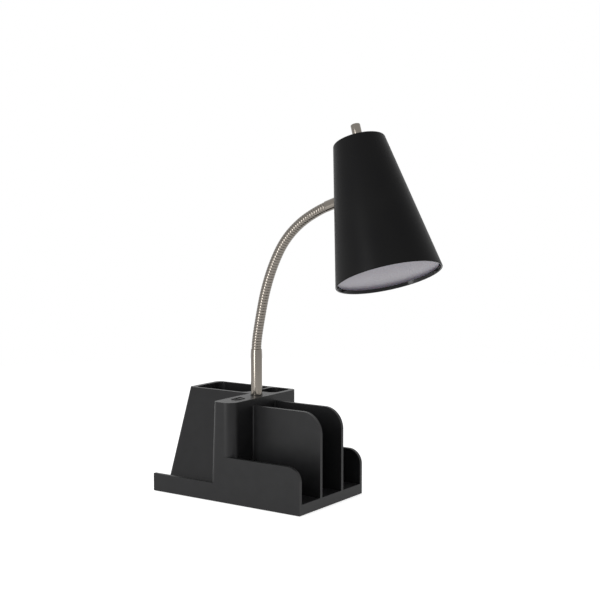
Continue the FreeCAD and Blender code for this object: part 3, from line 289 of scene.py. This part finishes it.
def asPiece(mesh, name, material, body, replaced, sharpAngle=35, inner=None):
    data = bpy.data.meshes.new(name)
    mesh.to_mesh(data)
    mesh.free()
    data.materials.append(material)
    if inner:  # a second finish, on the faces that were marked in the mesh
        data.materials.append(inner)
    data.shade_smooth()
    data.set_sharp_from_angle(angle=math.radians(sharpAngle))
    piece = bpy.data.objects.new(name, data)
    scene.collection.objects.link(piece)
    if replaced:
        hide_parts(*replaced)
    if body:
        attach(piece, body)
    return piece


def flattenFaces(piece):
    weighted = piece.modifiers.new("flatFaces", "WEIGHTED_NORMAL")
    weighted.keep_sharp = True
    return piece


def latheTurn(profile, steps):  # a profile of radius and height, turned once round z
    mesh = bmesh.new()
    corners = [mesh.verts.new((radius, 0, height)) for radius, height in profile]
    edges = [mesh.edges.new(pair) for pair in zip(corners, corners[1:])]
    bmesh.ops.spin(mesh, geom=corners + edges, cent=(0, 0, 0), axis=(0, 0, 1), dvec=(0, 0, 0),
                   angle=2 * math.pi, steps=steps, use_merge=True)
    bmesh.ops.remove_doubles(mesh, verts=mesh.verts, dist=weldWithin)
    bmesh.ops.recalc_face_normals(mesh, faces=mesh.faces)
    return mesh


def roundCorner(before, corner, after, radius, steps=5):  # an arc in place of a sharp corner
    a, c, b = (Vector(point) for point in (before, corner, after))
    toA, toB = (a - c).normalized(), (b - c).normalized()
    half = math.acos(max(-1, min(1, toA.dot(toB)))) / 2
    reach = radius / math.tan(half)
    centre = c + (toA + toB).normalized() * radius / math.sin(half)
    start = (c + toA * reach - centre).normalized()
    end = (c + toB * reach - centre).normalized()
    return [tuple(centre + start.slerp(end, n / steps) * radius) for n in range(steps + 1)]


def roundedProfile(points):  # a point's third number is the radius that rounds it
    result = []
    for index, point in enumerate(points):
        if len(point) == 2:
            result.append(point)
        else:
            result += roundCorner(points[index - 1][:2], point[:2],
                                  points[(index + 1) % len(points)][:2], point[2])
    return result


organizer = {"edgeRadius": 0.7 * mm, "edgeSegments": 3, "flatWithin": 0.3, "sharpFrom": 35,
             "rayStart": 0.2 * mm, "rayLift": 0.35}  # angles are in degrees


def seenFromOutside(edge):  # a ray out of the edge, tipped upwards, meets nothing
    normal = sum((face.normal for face in edge.link_faces), Vector()).normalized()
    middle = (edge.verts[0].co + edge.verts[1].co) / 2
    hit = rayTree.ray_cast(middle + normal * organizer["rayStart"],
                           normal + Vector((0, 0, organizer["rayLift"])))
    return hit[0] is None


def organizerShell():
    source = bmesh.new()
    source.from_mesh(nodes["organizer_housing"].data)
    bmesh.ops.remove_doubles(source, verts=source.verts, dist=weldWithin)
    bmesh.ops.dissolve_limit(source, angle_limit=math.radians(organizer["flatWithin"]),
                             verts=source.verts, edges=source.edges)
    return source


shellMesh = organizerShell()
rayTree = BVHTree.FromBMesh(shellMesh)
sharp = [edge for edge in shellMesh.edges
         if edge.calc_face_angle(0) > math.radians(organizer["sharpFrom"])
         and seenFromOutside(edge)]
bmesh.ops.bevel(shellMesh, geom=sharp, offset=organizer["edgeRadius"], offset_type="OFFSET",
                affect="EDGES", segments=organizer["edgeSegments"], profile=0.5, material=-1,
                clamp_overlap=True)
shell = flattenFaces(asPiece(shellMesh, "organizerShell", blackAbs, "organizer_base",
                             ["organizer_housing"]))
print("organizer made,", len(sharp), "edges softened,", len(shell.data.polygons), "faces")

neck = {"radius": 5.75 * mm, "pitch": 3.3 * mm, "grooveDepth": 0.36 * mm, "ribFlatness": 5,
        "around": 40, "stepsPerRib": 8, "fewestSteps": 8, "curveSteps": 64,
        "hiddenInSleeve": 6 * mm, "hiddenInFerrule": 1 * mm,
        "laidFromTop": (3,)}  # bends listed to be laid from their upper body; below, they are baked the same as the rest


def ribbedRod(length, startAt):  # a straight rod with one helical groove along it
    mesh = bmesh.new()
    count = max(neck["fewestSteps"], round(length / neck["pitch"] * neck["stepsPerRib"]))
    bmesh.ops.create_circle(mesh, cap_ends=True, radius=neck["radius"], segments=neck["around"])
    top = mesh.faces[:]
    for _ in range(count):
        made = bmesh.ops.extrude_face_region(mesh, geom=top)
        rising = [item for item in made["geom"] if isinstance(item, bmesh.types.BMVert)]
        if len(mesh.faces) > neck["around"] + 2:  # each end face after the foot's lies inside
            bmesh.ops.delete(mesh, geom=top, context="FACES_ONLY")
        bmesh.ops.translate(mesh, verts=rising, vec=(0, 0, length / count))
        top = [item for item in made["geom"] if isinstance(item, bmesh.types.BMFace)]
    # how deep each point lies in the groove; the hose's material turns it into painted shade
    deep = mesh.verts.layers.float.new("groove")
    for vertex in mesh.verts:
        turn = math.atan2(vertex.co.y, vertex.co.x) / (2 * math.pi)
        phase = ((startAt + vertex.co.z) / neck["pitch"] - turn) % 1
        fall = abs(2 * phase - 1) ** neck["ribFlatness"]
        vertex[deep] = fall
        scale = 1 - fall * neck["grooveDepth"] / neck["radius"]
        vertex.co.x *= scale
        vertex.co.y *= scale
    return mesh


def curvePoints(first, corner, last):  # a smooth curve, pulled towards the bend's pivot
    shares = [index / neck["curveSteps"] for index in range(neck["curveSteps"] + 1)]
    return [first * (1 - t) ** 2 + corner * 2 * t * (1 - t) + last * t ** 2 for t in shares]


def curveLength(first, corner, last):
    points = curvePoints(first, corner, last)
    return sum((after - before).length for before, after in zip(points, points[1:]))


def bendAlong(mesh, length, first, corner, last, lead, tail):
    points = curvePoints(first, corner, last)
    if lead:
        points.insert(0, first - (corner - first).normalized() * lead)
    if tail:
        points.append(last + (last - corner).normalized() * tail)
    reach = [0]
    for before, after in zip(points, points[1:]):
        reach.append(reach[-1] + (after - before).length)
    back = Vector((0, 1, 0))  # the neck lies in an upright plane, so this side stays square to it
    slack = 1e-9  # the last ring may fall just past the curve's end
    for vertex in mesh.verts:
        along = vertex.co.z / length * reach[-1]
        index = next((n for n in range(1, len(reach)) if reach[n] >= along - slack),
                     len(reach) - 1)
        share = (along - reach[index - 1]) / (reach[index] - reach[index - 1])
        centre = points[index - 1].lerp(points[index], share)
        before = points[max(index - 2, 0)]
        after = points[min(index + 1, len(points) - 1)]
        forward = (after - before).normalized()
        across = back.cross(forward).normalized()
        vertex.co = centre + across * vertex.co.x + back * vertex.co.y
    bmesh.ops.recalc_face_normals(mesh, faces=mesh.faces)


sleeveSizes = {"radius": 6.7 * mm, "topRadius": 6.35 * mm, "bore": 5.9 * mm,
               "drawnIn": 7 * mm, "topRound": 0.2 * mm, "around": 96}


def neckSleeve():
    low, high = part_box("neck_sleeve")
    rim, bore = sleeveSizes["radius"], sleeveSizes["bore"]
    profile = roundedProfile([(bore, low.z), (rim, low.z), (rim, high.z - sleeveSizes["drawnIn"]),
                              (sleeveSizes["topRadius"], high.z, sleeveSizes["topRound"]),
                              (bore, high.z)])
    mesh = latheTurn(profile + profile[:1], sleeveSizes["around"])
    middle = middleOf("neck_sleeve")
    bmesh.ops.translate(mesh, verts=mesh.verts, vec=(middle.x, middle.y, 0))
    return mesh


collarSizes = {"rise": 0.5 * mm, "gap": 0.1 * mm, "radius": 7.6 * mm, "topRound": 0.2 * mm,
               "around": 96}


def collarRing():
    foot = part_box("neck_collar")[0].z
    top = foot + collarSizes["rise"]
    inner, outer = sleeveSizes["radius"] + collarSizes["gap"], collarSizes["radius"]
    profile = roundedProfile([(inner, foot), (outer, foot), (outer, top, collarSizes["topRound"]),
                              (inner, top)])
    mesh = latheTurn(profile + profile[:1], collarSizes["around"])
    middle = middleOf("neck_collar")
    bmesh.ops.translate(mesh, verts=mesh.verts, vec=(middle.x, middle.y, 0))
    return mesh


asPiece(neckSleeve(), "neckSleeve", turnedNickel, "organizer_base", ["neck_sleeve"])
asPiece(collarRing(), "collarRing", blackAbs, "organizer_base", ["neck_collar"])
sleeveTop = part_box("neck_sleeve")[1].z
rootStart = Vector((pivots[0].x, pivots[0].y, sleeveTop))
tipWay = (middleOf("hose_ferrule") - pivots[-1]).normalized()
tipEnd = pivots[-1] + tipWay * heightRange("hose_ferrule", pivots[-1], tipWay)[0]
halfway = [rootStart] + [(a + b) / 2 for a, b in zip(pivots, pivots[1:])] + [tipEnd]
laid = 0
for index, name in enumerate(neckNames):
    first, corner, last = halfway[index], pivots[index], halfway[index + 1]
    lead = neck["hiddenInSleeve"] if index == 0 else 0
    tail = neck["hiddenInFerrule"] if index == len(pivots) - 1 else 0
    length = curveLength(first, corner, last) + lead + tail
    rod = ribbedRod(length, laid)
    bendAlong(rod, length, first, corner, last, lead, tail)
    laid += length
    stood = ["hose_root"] if index == 0 else ["hose_stretch_%d" % index]
    if index == len(pivots) - 1:
        stood.append("hose_tip")
    piece = asPiece(rod, "hoseBend%d" % (index + 1), hoseNickel, None, stood)
    if index + 1 in neck["laidFromTop"]:
        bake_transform(piece)
    else:
        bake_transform(piece)
print("neck made,", round(laid / mm), "mm of hose")

headTurn = Matrix.Translation(headTop) @ turnTo(-headUp, -tipWay)
shadeSizes = {"length": heightRange("shade", headTop, -headUp)[1], "topRadius": 28.8 * mm,
              "rimRadius": 58.4 * mm, "wall": 1.8 * mm, "roof": 2.2 * mm, "hole": 4.9 * mm,
              "topRound": 2.2 * mm, "rimRound": 0.7 * mm, "around": 160}


def shadeRadius(down):  # outside the cone, at a distance below its top
    top, rim = shadeSizes["topRadius"], shadeSizes["rimRadius"]
    return top + (rim - top) * down / shadeSizes["length"]


def shadeShell():
    length, wall, roof = shadeSizes["length"], shadeSizes["wall"], shadeSizes["roof"]
    profile = roundedProfile([
        (shadeSizes["hole"], 0), (shadeSizes["topRadius"], 0, shadeSizes["topRound"]),
        (shadeSizes["rimRadius"], length, shadeSizes["rimRound"]),
        (shadeRadius(length) - wall, length, shadeSizes["rimRound"]),
        (shadeRadius(roof) - wall, roof), (shadeSizes["hole"], roof)])
    mesh = latheTurn(profile + profile[:1], shadeSizes["around"])
    for face in mesh.faces:
        middle = face.calc_center_median()
        outwards = Vector((middle.x, middle.y, 0))
        if face.normal.dot(outwards) < 0:
            face.material_index = 1  # the inside takes the gloss paint
    bmesh.ops.transform(mesh, matrix=headTurn, verts=mesh.verts)
    return mesh


asPiece(shadeShell(), "shadeCone", satinPaint, "lamp_head", ["shade"], inner=glossPaint)
print("shade made")


def radiusOf(node, origin, direction):
    reach = [vertex.co - origin for vertex in nodes[node].data.vertices]
    return max((way - direction * way.dot(direction)).length for way in reach)


diffuserSizes = {"edgeRound": 0.9 * mm, "around": 128}


def diffuserDisc():
    low, high = heightRange("diffuser", headTop, -headUp)
    rim, edge = radiusOf("diffuser", headTop, headUp), diffuserSizes["edgeRound"]
    profile = roundedProfile([(0, low), (rim, low, edge), (rim, high, edge), (0, high)])
    mesh = latheTurn(profile, diffuserSizes["around"])
    bmesh.ops.transform(mesh, matrix=headTurn, verts=mesh.verts)
    return mesh


knobSizes = {"bore": 3 * mm, "boreDepth": 4.4 * mm, "footRound": 0.3 * mm, "topRound": 0.9 * mm,
             "around": 64}


def knobBarrel():
    top, foot = heightRange("switch_knob", headTop, -headUp)
    rim, bore = radiusOf("switch_knob", headTop, headUp), knobSizes["bore"]
    profile = roundedProfile([(0, foot - knobSizes["boreDepth"]),
                              (bore, foot - knobSizes["boreDepth"]), (bore, foot),
                              (rim, foot, knobSizes["footRound"]),
                              (rim, top, knobSizes["topRound"]), (0, top)])
    mesh = latheTurn(profile, knobSizes["around"])
    bmesh.ops.transform(mesh, matrix=headTurn, verts=mesh.verts)
    return mesh


asPiece(diffuserDisc(), "diffuserDisc", sandedAcrylic, "lamp_head", ["diffuser"])
asPiece(knobBarrel(), "knobBarrel", turnedNickel, bodyOf["switch_turn"][1], ["switch_knob"])
print("diffuser and knob made")

stage = {"floorRadius": 1.2, "floorAround": 96, "floorColor": "#e8e8e8", "floorGlow": 0.75,
         "backColor": "#ffffff", "roomLight": 0.5}


def backgroundRays(tree):  # what the camera sees, straight on, in gloss or through glass
    path = addNode(tree, "ShaderNodeLightPath")
    shown = path.outputs["Is Camera Ray"]
    for other in ("Is Glossy Ray", "Is Transmission Ray"):
        both = addNode(tree, "ShaderNodeMath", {"operation": "MAXIMUM"})
        tree.links.new(shown, both.inputs[0])
        tree.links.new(path.outputs[other], both.inputs[1])
        shown = both.outputs["Value"]
    return shown


def floorPaper():  # matte white paper, plain white wherever it is seen, with the shadow kept
    material, tree, shader = newMaterial("whiteFloorPaper", Roughness=1.0)
    shader.inputs["Base Color"].default_value = linear(stage["floorColor"])
    shader.inputs["Specular IOR Level"].default_value = 0
    shader.inputs["Emission Color"].default_value = linear(stage["backColor"])
    tree.links.new(between(tree, backgroundRays(tree), 0, stage["floorGlow"], 0, 1),
                   shader.inputs["Emission Strength"])
    return material


def paperFloor():
    mesh = bmesh.new()
    bmesh.ops.create_circle(mesh, cap_ends=True, radius=stage["floorRadius"],
                            segments=stage["floorAround"])
    floor = asPiece(mesh, "paperFloor", floorPaper(), None, [])


def studioWorld():  # a white background, and an even, soft light on the object
    world = bpy.data.worlds.new("studio")
    scene.world = world
    world.use_nodes = True
    tree = world.node_tree
    back = tree.nodes["Background"]
    back.inputs["Color"].default_value = linear(stage["backColor"])
    tree.links.new(between(tree, backgroundRays(tree), stage["roomLight"], 1, 0, 1),
                   back.inputs["Strength"])


keyLight = {"place": (-0.08, -0.9, 0.42), "target": (0.04, 0, 0.37), "size": (0.32, 0.8),
            "power": 5.5}


def softBox(name, place, target, size, power):
    data = bpy.data.lights.new(name, "AREA")
    data.shape = "RECTANGLE"
    data.size, data.size_y = size
    data.energy = power
    lamp = bpy.data.objects.new(name, data)
    scene.collection.objects.link(lamp)
    lamp.location = place
    lamp.rotation_euler = (Vector(target) - Vector(place)).to_track_quat("-Z", "Y").to_euler()


paperFloor()
studioWorld()
softBox("keyLight", **keyLight)

camera = {"place": (0.8493, -1.13145, 0.3469), "down": 4.845, "around": 34.82, "lens": 73.35,
          "sensor": 36, "framePixels": 600, "shiftPixels": (-0.83, 0.2), "clipStart": 0.01}


def addCamera():
    data = bpy.data.cameras.new("camera")
    data.sensor_width = camera["sensor"]
    data.lens = camera["lens"]
    data.shift_x = camera["shiftPixels"][0] / camera["framePixels"]
    data.shift_y = camera["shiftPixels"][1] / camera["framePixels"]
    data.clip_start = camera["clipStart"]
    view = bpy.data.objects.new("camera", data)
    scene.collection.objects.link(view)
    view.location = camera["place"]
    view.rotation_euler = (math.radians(90 - camera["down"]), 0, math.radians(camera["around"]))
    scene.camera = view


addCamera()
scene.view_settings.view_transform = "Standard"
print("stage, light and camera ready")
